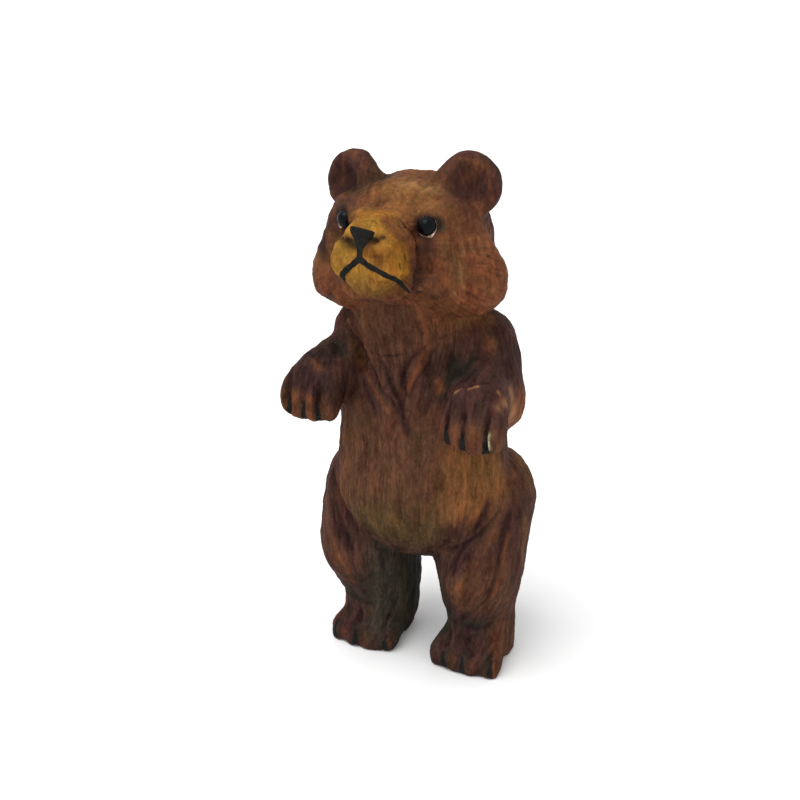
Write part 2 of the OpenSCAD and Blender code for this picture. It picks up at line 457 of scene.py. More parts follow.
def carve_cheek(skin, side):
    """One cheek's bulge and planes, and the cuts down its edge."""
    soften(skin, head(side * 13.4, -0.5, 2.6), 4.6, 60)
    swell(skin, mirrored((13.4, -3.6, 68), side), (3, 4.5, 2.6), 0.7)
    flatten(skin, head(side * 13.4, -6.4, -1), turned(side * 0.74, -0.66, 0.1), 7, keep=0.25)
    flatten(skin, head(side * 12.8, -3, 3.6), turned(side * 0.9, -0.36, 0.2), 5, keep=0.35)
    flatten(skin, head(side * 10.4, -6, -8.6), turned(side * 0.35, -0.6, -0.72), 5.5, keep=0.35)
    for z, ahead, size in ((1, 0.8, 6.5), (-1, 0.2, 7.5), (-3.2, -0.4, 6)):
        x, y = side * (14.2 + 0.1 * z), -2.6 - ahead
        top, foot = head(x, y - 0.8, z + 0.55 * size), head(x, y + 0.2, z - 0.45 * size)
        knife(skin, [top, head(x + side * 0.8, y, z), foot], 0.5, 0.45)


def carve_face(skin):
    """The front of the muzzle, both sides of the face, the line under the nose, the cracks and the chin."""
    flatten(skin, head(0, -17.2, 0), turned(0, -1, 0.1), 8, keep=0.5)
    for side in (LEFT, RIGHT):
        carve_muzzle(skin, side)
        carve_eye(skin, side)
        carve_cheek(skin, side)
    knife(skin, [head(0.2, -17.6, 1.5), head(0.3, -18, -0.6)], 0.6, 0.3)
    for crack in CRACKS:
        knife(skin, crack, 0.25, 0.15)
    soften(skin, head(0, -15.5, -6.6), 4, 24)


def carve_ears(skin):
    """The dish of each ear, inside a rim, and the crown smooth between them."""
    for side in (LEFT, RIGHT):
        swell(skin, head(side * 10.4, -1.8, 10.2), (2.9, 2, 3.1), -0.55, turned(side * 0.2, -1, 0))
        swell(skin, head(side * 8.6, -2.2, 6.6), (1.8, 2, 1.6), -0.5, turned(0, -1, 0.3))
        soften(skin, head(side * 6.8, 0, 12), 3.2, 40)


def carve_chest(skin):
    """The long cuts that meet over the belly, the leaf beside them, and the ones round the shoulders."""
    bib = [(-11.8, -2.5, 61.6), (-9, -4.3, 58.6), (-6.5, -5.5, 55.8), (-3.1, -7.4, 52.2), (1.2, -8.4, 48.6)]
    knife(skin, bib, 0.5, 0.8, (-1, -0.2, -0.9), 3.4)
    second = [(-3.4, -6.7, 56.7), (-1.4, -7.6, 53), (0.7, -8, 50.4), (2, -8.6, 46.7)]
    knife(skin, second, 0.5, 0.6, (1, 0, 1), 1.8)
    knife(skin, [(-8.6, -6, 53.4), (-4, -8, 48.4)], 1.0, 0.4)
    knife(skin, [(-5.4, -6, 57), (-1.3, -7.2, 57.7), (1.7, -7.3, 58.6)], 0.5, 0.25)
    leaf_right = [(5.6, -6.3, 61), (2.4, -7, 57.8), (0.7, -7.1, 54.6), (1.7, -7.6, 51.6)]
    knife(skin, leaf_right, 0.5, 0.55, (-1, 0, 0.5), 1.4)
    leaf_left = [(6.4, -6.2, 60.4), (4.8, -6.6, 57.4), (3.3, -6.8, 54.9), (2.1, -7.6, 51.6)]
    knife(skin, leaf_left, 0.4, 0.5, (1, 0, -0.5), 2.2)
    swell(skin, (3.2, -7, 57), (1.0, 2, 2.6), 0.45, (0, -1, 0))
    for side in (LEFT, RIGHT):
        shoulder = [(6.8, -6, 61.6), (9.2, -5.2, 62.6), (11.4, -2.2, 63)]
        knife(skin, on_side(shoulder, side), 0.6, 0.5, (0, 0, -1), 1.4)
        swell(skin, mirrored((10.7, -6.5, 57.4), side), (2.4, 3, 1.7), -1.2)
        swell(skin, mirrored((7.4, -5, 55.6), side), (1.6, 3, 2.6), -0.5)
        elbow = [(17.6, -6.9, 55.1), (18, -7, 52.4), (17.4, -7.4, 49.6)]
        knife(skin, on_side(elbow, side), 0.6, 0.7, mirrored((0, 1, 0), side), 2.4)
        ridge = [(11.3, -9.7, 54.9), (13.8, -9.5, 56.3), (16.4, -7.4, 56.4)]
        knife(skin, on_side(ridge, side), 0.5, 0.3, (0, 0, 1), 1.4)


THIGH_CUTS = (
    ((15.4, -4, 30.5), (10, -7, 20.6)),
    ((17.6, -0.5, 28), (14.5, -4.6, 18)),
    ((12, -6.6, 28), (8.4, -6.6, 20)),
    ((18.6, 4, 30), (16.4, 2, 17)),
    ((16.6, 10, 30), (14.4, 8, 16)),
)


def carve_legs(skin):
    """The edge of the belly over the thighs, the cuts down the thighs, and the creases over the feet."""
    belly = [(-15.4, -1.5, 33.5), (-11.8, -6.4, 30), (-8.5, -7.4, 27.2), (-4.8, -7.6, 24.6),
             (0, -7.7, 23.5), (5, -7.5, 24.2), (9.5, -6, 25), (13, -4.8, 27.3), (15.8, -0.7, 31.2)]
    knife(skin, belly, 0.6, 0.7, (0, 0, -1), 1.8)
    for side in (LEFT, RIGHT):
        swell(skin, mirrored((5.4, 0, 14), side), (4, 8, 9), 1.0, (-side, 0, 0))
        for top, foot in THIGH_CUTS:
            middle_way = (np.array(top) + foot) / 2 * (1.03, 1, 1)
            knife(skin, on_side((top, middle_way, foot), side), 0.9, 0.4)
        ankle = [(5.4, -0.6, 8.6), (9.4, -3.4, 7.8), (13.4, -2.4, 8.2), (15.6, 2, 9)]
        knife(skin, on_side(ankle, side), 0.9, 0.55, (0, 0, 1), 2.0)


def carve_back(skin):
    """Long cuts down the back, round the shoulder blades and the rump."""
    knife(skin, [(0, 12, 62), (0.4, 13.4, 50), (0.2, 15.4, 36)], 1.1, 0.5)
    for side in (LEFT, RIGHT):
        blade = [(5, 11.6, 63), (8.6, 11, 55), (8, 13, 46), (9.4, 14, 38)]
        knife(skin, on_side(blade, side), 0.9, 0.6, (0, 0, -1), 1.8)
        rump = [(3, 16.4, 21), (7, 16, 20.4), (12.6, 12, 21.4)]
        knife(skin, on_side(rump, side), 0.8, 0.5)
        neck = [(3, 11, 68), (9, 9.6, 67.4), (12.8, 4, 67)]
        knife(skin, on_side(neck, side), 0.8, 0.5, (0, 0, -1), 2.0)


# Where the cuts between the fingers and between the toes lie along X, in mm, and how far from the middle
# of the body the middles of the hands and of the feet are.
FINGER_CUTS = {LEFT: (10.6, 13.7, 17.5), RIGHT: (-17.6, -14.6, -12.1)}
TOE_CUTS = {LEFT: (7.6, 11.4, 16.2), RIGHT: (-14.2, -9.8, -4.2)}
HAND_MIDDLE = 14.4
FOOT_MIDDLE = {LEFT: 10.9, RIGHT: 8.9}


def finger_cut(x, side):
    """The line of a cut between two fingers, from the back of the hand round to its tip."""
    back = x - side * (abs(x) - HAND_MIDDLE) * 0.12
    return [(back, -9.6, 54.4), (x, -12, 51.6), (x, -12.8, 48.6), (x, -11.8, 45.4), (x, -10.4, 44.2)]


def toe_cut(x, side):
    """The line of a cut between two toes, from the instep down to the sole."""
    back = 0.05 * (abs(x) - FOOT_MIDDLE[side]) ** 2
    instep = (x * 0.96 + 0.4 * side, -1.6 + back, 6.6)
    return [instep, (x, -5.2 + back, 4.6), (x, -6.6 + back, 2.2), (x, -6.2 + back, 0)]


def carve_hands(skin):
    """Long cuts between the fingers and between the toes."""
    for side in (LEFT, RIGHT):
        soften(skin, mirrored((14.5, -12, 48), side), 5.5, 24)
        soften(skin, mirrored((9.9 + side, -6, 2), side), 7.5, 24)
        for x in FINGER_CUTS[side]:
            knife(skin, finger_cut(x, side), 1.0, 0.95)
        for x in TOE_CUTS[side]:
            knife(skin, toe_cut(x, side), 1.1, 1.0)


SPLINTER = [(17.9, -12.2, 49.8), (17.9, -12.6, 48.6), (17.7, -12.6, 47.2)]


def calm_of(skin):
    """How strongly the gouge shows at each point: little on the muzzle, round the beads and on the ears."""
    muzzle = to_segment(skin.at, mm(*head(0, -12, 0)), mm(*head(0, -18, 0)))[0]
    calm = 0.2 + 0.8 * smooth_step(muzzle, 6 * UNIT, 9 * UNIT)
    for side in (LEFT, RIGHT):
        calm *= smooth_step(np.linalg.norm(skin.at - EYE[side], axis=1), 1.8 * UNIT, 3.4 * UNIT)
        ear = np.linalg.norm(skin.at - mm(*head(side * 10, 0, 10)), axis=1)
        calm *= 0.5 + 0.5 * smooth_step(ear, 4 * UNIT, 7 * UNIT)
    return calm


def bold_of(skin):
    """How strongly the stain follows the marks at each point: less on the head, least on the cheeks."""
    away = to_segment(skin.at, mm(*head(0, -12, 0)), mm(*head(0, 4, 6)))[0]
    bold = 0.55 + 0.45 * smooth_step(away, 12 * UNIT, 16 * UNIT)
    return bold - 0.25 * smooth_step(abs(on_head(skin.at)[:, 0]), 6, 9) * (bold < 0.8)


def carve_block(skin):
    """All the cuts, and the streaks that they leave. Returns the marks that the stain follows."""
    random = np.random.default_rng(SEED)
    carve_face(skin)
    carve_ears(skin)
    carve_chest(skin)
    carve_legs(skin)
    carve_back(skin)
    carve_hands(skin)
    knife(skin, SPLINTER, 0.7, 0.4)
    calm = calm_of(skin)
    facets = gouge(skin, flow_of(skin), random, calm, spacing=4, length=12, width=3.2, depth=0.42)
    strokes = gouge(skin, flow_of(skin), random, calm, spacing=2, length=7, width=1.5, depth=0.2)
    comb = Comb(skin, flow_of(skin), 8)
    grain = random.normal(size=len(skin.at))
    fine, broad = comb.draw(grain), comb.draw(skin.average(grain[::-1], 10)[:, 0])
    skin.push((0.018 * fine + 0.04 * broad) * calm * UNIT)
    bold = bold_of(skin)
    return {"facets": facets * bold, "strokes": strokes * bold, "fine": fine * bold, "broad": broad * bold}


# How far out from its middle each bead shows, in mm, the way that it looks, and the gap behind it.
BEAD_SHOWN = {LEFT: 1.45 * UNIT, RIGHT: 1.08 * UNIT}
BEAD_LOOKS = {LEFT: turned(0.31, -0.95, 0), RIGHT: turned(-0.31, -0.95, 0)}
SOCKET_GAP = 0.35 * UNIT


def sink_sockets(skin):
    """Presses the skin in behind each bead, so that the bead lies in a socket with a lip."""
    for side in (LEFT, RIGHT):
        off, looks = skin.at - EYE[side], unit(BEAD_LOOKS[side])
        ahead = off @ looks
        out = np.linalg.norm(off - ahead[:, None] * looks, axis=1)
        under = np.sqrt(np.clip(BEAD_R ** 2 - out ** 2, 0, None)) - SOCKET_GAP
        drop = np.where((out < BEAD_SHOWN[side]) & (ahead > -BEAD_R), np.clip(ahead - under, 0, None), 0)
        skin.at -= drop[:, None] * looks
    skin.update()


def settle(skin):
    """The soles are flat, and nothing is below the floor."""
    skin.at[:, 2] = np.maximum(skin.at[:, 2], 0)
    skin.update()


# ---- Stain, painted shade and painted highlights ----

def linear(levels):
    """Channels given as 0 to 255, in the linear numbers that shaders use."""
    return np.where(levels > 10, ((levels / 255 + 0.055) / 1.055) ** 2.4, levels / 255 / 12.92)


def srgb(*levels):
    """A colour for a shader, from its red, green and blue as 0 to 255."""
    return (*linear(np.array(levels)).tolist(), 1)


# The stains, and the colours of painted shade and painted highlights, as 0 to 255 in each channel.
TAN = (124, 84, 50)
SIENNA = (124, 76, 50)
RUSSET = (106, 64, 44)
BROWN = (90, 60, 46)
UMBER = (76, 50, 44)
MAROON = (66, 44, 42)
DEEP = (46, 29, 32)
WINE = (54, 38, 38)
OLIVE = (84, 66, 42)
# Painted shade: the near-black of armpits, crotch, ankle creases, toe cuts, cracks, gaps and eye corners.
HOLLOW_SHADE = (50, 46, 41)
# Painted shade on the insides of the legs, where they face each other.
INNER_LEG_SHADE = (64, 58, 50)
PEAT = (62, 48, 34)
AMBER = (150, 107, 47)
HONEY = (150, 98, 40)
# Painted highlight on the ridges and the rim of the muzzle, over its ochre.
GOLD_HIGHLIGHT = (168, 118, 46)
# Painted shade on the muzzle: above the nose, under its wings and under the mouth.
MUZZLE_SHADE = (108, 68, 32)
# Painted shadow under the wings of the nose.
NOSE_WING_SHADOW = (58, 40, 28)
STRAW = (116, 80, 46)
PALE = (240, 220, 178)
# Pale scratches, and painted highlights on elbows, ridges and cut edges.
PALE_SCRATCH_AND_HIGHLIGHT = (158, 116, 78)


# The broad colours of the wood, as (place, reach, stain), in mm at 90 mm tall: first those in the middle
# and on the back, then those of the left side, which the right side has too.
PLACES = (
    (head(1, -8, 10), 5, TAN),
    (head(0, 2, 12), 7, SIENNA),
    (head(0, 12, 2), 10, UMBER),
    ((0, -6, 63), 5, BROWN),
    ((-7, -4, 58), 4, BROWN),
    ((-3, -8, 54), 4, UMBER),
    ((4, -7, 54), 4, UMBER),
    ((1, -9, 46), 5, BROWN),
    ((0, -13, 38), 6, BROWN),
    ((-6, -12, 40), 5, BROWN),
    ((14.5, -3, 37), 5, TAN),
    ((0, -14, 28), 6, OLIVE),
    ((0, -8, 20), 5, MAROON),
    ((0, 14, 52), 9, UMBER),
    ((0, 16, 36), 9, BROWN),
    ((0, 12, 22), 6, UMBER),
    # painted shade between the legs
    ((0, 2, 14), 5, HOLLOW_SHADE),
)
PAIRED_PLACES = (
    (head(5, -9, 8), 4, TAN),
    (head(9, -8, 2), 5, RUSSET),
    (head(12, -6, -4), 5, RUSSET),
    (head(14.5, 0, -2), 4, SIENNA),
    (head(10, -1, 11), 5, MAROON),
    (head(8, -4, -10), 4, RUSSET),
    ((12, -3, 60), 4, UMBER),
    ((15, 3, 56), 5, MAROON),
    ((16, 3, 48), 3.4, SIENNA),
    ((14.5, -10, 55), 4, MAROON),
    ((15, -14, 48), 3, BROWN),
    ((15, 2, 38), 5, UMBER),
    ((18, 3, 28), 5, UMBER),
    ((12, -8, 24), 4, UMBER),
    ((14, -5, 17), 4, BROWN),
    ((9.5, -5, 10), 4, MAROON),
    ((10, -5, 3), 4, MAROON),
    ((16, 4, 5), 4, BROWN),
    ((11, 12, 14), 6, UMBER),
    ((10, 10, 4), 5, MAROON),
    # painted shade between the ankles
    ((4, 2, 8), 4, HOLLOW_SHADE),
)

# Brushed strokes over them, as (start, end, reach, strength, stain): first those of one side only, then
# those of both sides, given for the left, and last those that lie over the others.
# Some strokes are painted shade in hollows and creases, and some painted highlights on ridges and edges.
UNDER_TOUCHES = (
    (head(-5, -1.6, 11), head(-7, -4, 9.4), 2.4, 0.65, PEAT),
    (head(-3.2, -1.8, 10.7), head(-4.2, -6.6, 9.3), 1.2, 0.6, PEAT),
    (head(-7.4, -9.4, 6.6), head(-4.6, -9.4, 7.5), 1.7, 0.7, UMBER),
    (head(-6.4, -8, 7.8), head(-5, -8, 8.2), 1.4, 0.5, UMBER),
    (head(-1.4, -10.4, 6.8), head(-0.2, -10.7, 6.7), 1.5, 0.6, RUSSET),
    (head(12.3, -1.4, 6.2), head(12.4, -1.2, 4.6), 1.8, 0.6, SIENNA),
    # painted light, lifting the shade under the left cheek
    ((9.6, -3, 64.6), (11.4, 1.2, 63.8), 1.6, 0.85, TAN),
    # painted shade in the armpits
    ((10.7, -6.5, 57.6), (9, -6, 56), 2, 0.95, HOLLOW_SHADE),
    ((7.6, -4, 52), (8.6, -5, 57), 1.3, 0.8, HOLLOW_SHADE),
    ((-11.6, -6, 57.6), (-10.8, -5.5, 56), 1.6, 0.95, HOLLOW_SHADE),
    (head(1.5, -6, 9.4), head(6.5, -4.6, 9.2), 1.5, 0.55, PALE_SCRATCH_AND_HIGHLIGHT),
    (head(-10.4, -2, 12), head(-10.4, -2, 8.4), 2.8, 0.7, DEEP),
    ((-14.5, -8.6, 56), (-13.6, -10.4, 52.4), 2.8, 0.85, WINE),
    (head(-9, -1.6, 13.4), head(-7.4, -1.8, 12), 0.5, 0.8, RUSSET),
    (head(-2, -8.6, 8), head(-4, -9, 7), 1.1, 0.5, RUSSET),
    (head(12.6, -7, 4), head(12.4, -7, 0), 0.35, 0.4, PALE_SCRATCH_AND_HIGHLIGHT),
    (head(8, -9.4, 0), head(11, -7.6, -6), 0.3, 0.5, PALE_SCRATCH_AND_HIGHLIGHT),
    (head(11.6, -7.2, -1), head(12.2, -6.8, -5), 0.3, 0.5, PALE_SCRATCH_AND_HIGHLIGHT),
    (head(6.9, -10.6, -5.6), head(7.4, -10.4, -5.7), 0.35, 0.6, PALE_SCRATCH_AND_HIGHLIGHT),
    (head(4, -9.6, 6), head(5.4, -9.4, 3), 1.1, 0.6, RUSSET),
    ((-12.6, -8.4, 75.2), (-11.4, -9.4, 74.4), 1.5, 1, DEEP),
    ((-9.6, -9, 78.6), (-11.8, -8.4, 76.6), 1.3, 0.8, MAROON),
    ((-10.4, -7.6, 81.6), (-12, -7, 77.4), 1.4, 0.6, MAROON),
    ((-16.2, -12.4, 50), (-16.2, -12.4, 46.4), 1, 0.5, SIENNA),
    ((-13.2, -12.6, 50), (-13.2, -12.6, 46.4), 0.9, 0.5, SIENNA),
    (head(-8.4, -2, 12), head(-7.6, -2, 9.6), 1.8, 0.6, MAROON),
    ((14.2, -6, 43), (14.6, -3, 35), 2.6, 0.7, TAN),
    ((6.2, -12.6, 70.6), (7.6, -10.4, 69.4), 0.3, 0.8, DEEP),
    ((-13.4, -8, 72.2), (-9.6, -11, 71.4), 1.2, 0.7, SIENNA),
    ((-10.6, -10, 77), (-10.2, -10.8, 74), 0.7, 0.75, SIENNA),
    ((-8.6, -6, 54), (-4, -8, 48.4), 1.2, 0.7, MAROON),
    ((-8.4, -4.8, 56.4), (-2, -8.4, 48.4), 1.5, 0.7, MAROON),
    ((-8.2, -5, 55), (-1, -8.4, 48.4), 0.45, 0.7, SIENNA),
    ((-3.6, -6.8, 56.6), (0.4, -8, 51), 0.6, 0.6, MAROON),
    # painted highlight along the edge of the long chest cut
    ((-11.4, -3.2, 61), (-7.8, -5, 56.6), 0.35, 0.7, PALE_SCRATCH_AND_HIGHLIGHT),
    ((1.2, -8.4, 49.6), (2.2, -8.8, 46), 0.8, 0.7, DEEP),
    ((5.2, -6.6, 60.4), (1.9, -7.6, 53), 0.7, 0.8, RUSSET),
    ((6.6, -6, 58), (4, -7, 53), 0.9, 0.6, MAROON),
    ((14, -1.8, 60.8), (13.4, -2, 59.6), 0.9, 0.8, SIENNA),
    ((6.6, -6.4, 54.6), (7.2, -6.2, 53), 0.7, 0.7, SIENNA),
    ((-13, -11, 57.4), (-12, -11.6, 56.6), 0.8, 0.6, SIENNA),
    # painted highlights along the knuckle ridge and the outer edge of the left paw
    ((11.2, -10, 54.6), (12, -10, 55.6), 0.22, 0.8, PALE_SCRATCH_AND_HIGHLIGHT),
    ((13.6, -9.9, 55.8), (15, -9.6, 56.4), 0.24, 0.8, PALE_SCRATCH_AND_HIGHLIGHT),
    ((17.2, -7.6, 54.8), (17.6, -8.2, 50), 0.3, 0.7, PALE_SCRATCH_AND_HIGHLIGHT),
)
PAIRED_TOUCHES = (
    # painted highlight on each elbow
    ((18, -2.4, 52.8), (17.8, -2, 48.6), 1.9, 0.8, PALE_SCRATCH_AND_HIGHLIGHT),
    ((15.4, -3, 33), (9.6, -7.4, 21.6), 0.9, 0.85, DEEP),
    ((12.4, -6.4, 31), (8, -7.4, 24.6), 0.8, 0.65, DEEP),
    ((12.4, -8.6, 41), (12, -7.8, 32), 2.6, 0.5, SIENNA),
    ((17.8, 0, 30), (15.4, -4.4, 18), 0.8, 0.6, DEEP),
    ((12, -4.6, 11.6), (16, -1, 11), 1.6, 0.5, MAROON),
    ((18.8, 4, 30), (17.4, 1, 19), 0.8, 0.6, MAROON),
    ((16.8, -3, 28), (11.4, -7.4, 18.6), 0.7, 0.65, SIENNA),
    ((18.8, -1, 27), (16.4, -4, 17), 0.6, 0.55, SIENNA),
    ((13.6, -6, 23), (9.6, -7.4, 16.4), 0.6, 0.45, SIENNA),
    ((12, -6.6, 18), (10.4, -6.4, 14), 1.2, 0.5, RUSSET),
    # painted shade down the inside of each leg
    ((4.5, -2, 18), (4.4, 0, 3), 3.2, 0.95, INNER_LEG_SHADE),
    # painted shade in the crease over each foot
    ((5, -3.4, 9.6), (13.4, -3.4, 8.4), 1.8, 0.9, HOLLOW_SHADE),
    ((8, -5.6, 6), (13, -5, 3), 3.4, 0.8, MAROON),
    ((16.4, 0, 6), (16, -3.4, 1.5), 1.2, 0.7, RUSSET),
    (head(10.6, -2.5, 10.6), head(12, -1.8, 12.4), 1.4, 0.5, SIENNA),
    (head(9.4, -2.2, 14), head(13.4, -1.4, 13), 0.5, 0.6, RUSSET),
    (head(14.2, -1.4, 12.4), head(14.4, -1.4, 7.6), 0.5, 0.6, RUSSET),
    # painted shade in the outer corner of each eye
    (head(8.9, -8.8, 4.6), head(9.1, -8.8, 3.9), 0.9, 0.95, HOLLOW_SHADE),
    # painted shade on the cheek beside the muzzle
    (head(7.4, -10.4, 1.6), head(7.4, -11, -4), 1.3, 0.8, MAROON),
    (head(8.4, -8.6, -4), head(9.6, -8, -6), 1, 0.5, MAROON),
    (head(13.4, -5.6, 2), head(14.6, -4.6, -6), 0.35, 0.45, PALE_SCRATCH_AND_HIGHLIGHT),
    (head(14.4, -4, 3), head(15.6, -3.4, -6), 0.4, 0.4, PALE_SCRATCH_AND_HIGHLIGHT),
    (head(15, -2, 2), head(15.6, -1, -7), 0.4, 0.4, PALE_SCRATCH_AND_HIGHLIGHT),
    (head(10, -8.6, 1), head(12, -7.4, -3), 1.4, 0.4, OLIVE),
    (head(9, -8.4, -5), head(12, -6.6, -7), 1, 0.4, SIENNA),
    ((6, 16, 24), (11, 14.6, 26), 1.6, 0.5, MAROON),
    ((8.4, 11.4, 58), (9, 13, 46), 1.2, 0.6, MAROON),
    ((4, 14, 52), (4.4, 15.6, 36), 1.4, 0.4, RUSSET),
    ((13, 11, 34), (15, 9, 24), 1.6, 0.5, RUSSET),
)
OVER_TOUCHES = (
    # more painted shade down the inside of the right leg
    ((-4.5, -4.4, 20), (-5.6, -3, 6), 3, 0.9, INNER_LEG_SHADE),
    ((-13.8, -4.6, 17.4), (-12.2, -6.2, 14.6), 1.8, 0.85, MAROON),
    (head(-7.6, -2.2, 14.2), head(-8, -2.2, 12.4), 1.3, 0.75, MAROON),
    ((-9, -4.1, 57.4), (-8, -4.6, 54.6), 1.1, 0.55, SIENNA),
    ((9.9, -6.1, 27), (9.2, -6.3, 26), 1, 0.5, BROWN),
    ((18.4, 4.4, 27), (18, 4.2, 20), 1.6, 0.55, TAN),
    ((16.2, 9.4, 36), (16.8, 9, 32), 2, 0.5, TAN),
    ((14.5, -0.5, 38.6), (15.2, 1, 34.6), 2, 0.7, TAN),
    ((15.8, 5.9, 35.6), (14.4, -2.1, 33.5), 1.2, 0.5, SIENNA),
    ((18.6, -9.4, 53.4), (18, -6.6, 53), 1.1, 0.6, PALE_SCRATCH_AND_HIGHLIGHT),
    # painted shade in the gap beside the splinter
    ((18.4, -12, 50), (18.3, -12.2, 47), 0.4, 0.9, HOLLOW_SHADE),
    (SPLINTER[0], SPLINTER[-1], 0.42, 1, PALE),
)


def stain_and_shade_places():
    """Every place of the broad colours, as (place, reach, stain)."""
    paired = [(mirrored(place, side), *rest) for side in (LEFT, RIGHT) for place, *rest in PAIRED_PLACES]
    return [*PLACES, *paired]


def stain_shade_and_highlight_strokes():
    """Every brushed stroke, in the order in which they are laid on."""
    touches = list(UNDER_TOUCHES)
    for side in (LEFT, RIGHT):
        touches += [(*on_side((start, end), side), *rest) for start, end, *rest in PAIRED_TOUCHES]
        for x in FINGER_CUTS[side]:
            for finger in (x - 1.5, x + 1.5):
                touches.append(((finger, -12.4, 50), (finger, -12.4, 46), 0.7, 0.4, RUSSET))
        for x in TOE_CUTS[side]:
            # painted shade down each cut between the toes
            touches.append(((x, -5, 4.6), (x, -6.4, 0.5), 0.6, 0.8, HOLLOW_SHADE))
            touches.append(((x + 1.6, -6, 3), (x + 1.6, -6.6, 1), 0.8, 0.5, RUSSET))
    return [*touches, *OVER_TOUCHES]


# The strokes on the muzzle, the same way, but in the head's own axes: ochre, painted highlights on its
# ridges and rim, and painted shadows round the nose.
MUZZLE_TOUCHES = (
    ((-2, -15, 5.4), (1.6, -13.6, 5.8), 1.6, 0.9, HONEY),
    ((1.4, -15.4, 4.8), (2.8, -16.2, 3.9), 0.6, 0.9, GOLD_HIGHLIGHT),
    ((3.2, -14.2, 5), (5.4, -14.4, 3.2), 1.3, 0.9, RUSSET),
    ((4.4, -15.4, 2.6), (4.9, -15.2, 1.2), 0.9, 0.85, HONEY),
    ((4.9, -15.4, 1), (5.3, -14.8, -1), 0.9, 0.85, HONEY),
    ((5.2, -15, -1.2), (5.3, -14.4, -2.6), 0.8, 0.95, GOLD_HIGHLIGHT),
    ((3.2, -16.6, 3.4), (4.3, -16.5, 1.2), 0.28, 0.8, GOLD_HIGHLIGHT),
    ((-1.9, -17, 4.6), (-3.4, -17, 2.2), 0.3, 0.8, GOLD_HIGHLIGHT),
    ((-3.4, -17, 2.2), (-4, -17, -1), 0.3, 0.8, GOLD_HIGHLIGHT),
    ((-1.2, -16.6, 4.75), (2, -16.2, 4.6), 0.25, 0.8, MUZZLE_SHADE),
    ((-3.6, -17, 3.1), (-0.4, -17.4, 1.5), 0.75, 1, NOSE_WING_SHADOW),
    ((1.2, -17.4, 1.5), (3.2, -17, 2.6), 0.6, 1, NOSE_WING_SHADOW),
    ((2.9, -17, 2.6), (4, -16.6, 2.9), 0.35, 0.95, NOSE_WING_SHADOW),
    ((1.8, -17.4, 0.8), (3.6, -17, -0.6), 1.2, 0.9, MUZZLE_SHADE),
    ((2, -17.2, -3.4), (4.2, -16, -3.4), 0.6, 0.4, MUZZLE_SHADE),
)


def blend(colour, weight, stain):
    """Moves the colours towards a stain, by a weight for each point."""
    colour += weight[:, None] * (np.array(stain) - colour)


def touch(skin, colour, start, end, reach, strength, stain, wobble):
    """Brushes one stroke on, of stain, painted shade or painted highlight, with an edge that the grain makes
    uneven.
    """
    start, end = [skin.at[((skin.at - mm(*p)) ** 2).sum(1).argmin()] for p in (start, end)]
    away, _ = to_segment(skin.at, start, end)
    fall = np.exp(-(away / (reach * UNIT)) ** 2 * (1 + 0.35 * wobble))
    weight = strength * fall * (away < 4 * reach * UNIT)
    blend(colour, np.clip(weight, 0, 1), stain)


def muzzle_colour(skin, colour, wobble):
    """Ochre over the muzzle, up to the edge where the cheeks begin and down to the chin, with painted
    highlights and shadows brushed over it.
    """
    x, y, z = on_head(skin.at).T
    edge = -13.2 + 0.5 * np.clip(z - 4, 0, 3)
    edge = edge + 0.9 * smooth_step(x, 3, 5) * smooth_step(-z, -2.5, -0.5) + 0.2 * wobble
    ochre = smooth_step(edge - y, -1.0, 1.1) * smooth_step(z, -7.0, -5.0)
    side = smooth_step(abs(x), 4.6, 5.3)[:, None]
    chin = smooth_step(-z, 2.5, 5.5)[:, None]
    # The side planes turn more orange and a little darker, and the chin darker: partly the ochre's own tone,
    # partly painted shade.
    tone = np.array(AMBER) * (1 - side) + np.array(HONEY) * side
    tone = tone * (1 - 0.7 * chin) + np.array(STRAW) * 0.7 * chin
    blend(colour, ochre, tone)
    for start, end, *rest in MUZZLE_TOUCHES:
        touch(skin, colour, head(*start), head(*end), *rest, wobble)
    for crack in CRACKS:
        # the cracks darkened with painted shade
        touch(skin, colour, *crack, 0.2, 0.8, HOLLOW_SHADE, wobble=0)


def broad_colours(skin):
    """The stain before any stroke: at each point, the places near it, the nearest most of all."""
    weight, colour = np.zeros((len(skin.at), 1)), np.zeros((len(skin.at), 3))
    for place, reach, stain in stain_and_shade_places():
        w = np.exp(-((skin.at - mm(*place)) ** 2).sum(1) / (reach * UNIT) ** 2)[:, None] + 1e-9
        weight += w
        colour += w * stain
    return colour / weight


def paint_block(skin, marks):
    """Writes what the material reads: the stain's colour with painted shade and highlights in it, how the
    grain lightens it, and how far each point stands out, for wear on the ridges and painted shade in the
    hollows.
    """
    wobble = np.clip(0.6 * marks["broad"] + 0.4 * marks["fine"], -2, 2)
    colour = broad_colours(skin)
    for stroke in stain_shade_and_highlight_strokes():
        touch(skin, colour, *stroke, wobble)
    muzzle_colour(skin, colour, wobble)
    for side in (LEFT, RIGHT):
        # Painted shade in a ring round each bead, where its socket is.
        away = np.linalg.norm(skin.at - EYE[side], axis=1)
        ring = np.exp(-((away - BEAD_R) / (0.55 * UNIT)) ** 2)
        blend(colour, 0.6 * ring, DEEP)
    # Each knife cut darkened, for stain that pools in it and as painted shade.
    blend(colour, 0.75 * skin.pooled_stain_and_shade, DEEP)
    fine, broad = skin.relief(4) / UNIT, skin.relief(30) / UNIT
    drift = 0.5 + 0.18 * marks["broad"] + 0.2 * marks["strokes"] + 0.12 * marks["facets"]
    skin.paint("stain", linear(colour))
    skin.paint("streak", np.clip(0.5 + 0.14 * marks["fine"] + 0.12 * marks["broad"], 0, 1))
    skin.paint("drift", np.clip(drift, 0, 1))
    # Lighter on ridges, for wear, and darker in hollows, as painted shade.
    skin.paint("edge", np.clip(0.5 + 3.0 * fine + 1.3 * broad, 0, 1))


# ---- Paint that lies on the wood ----

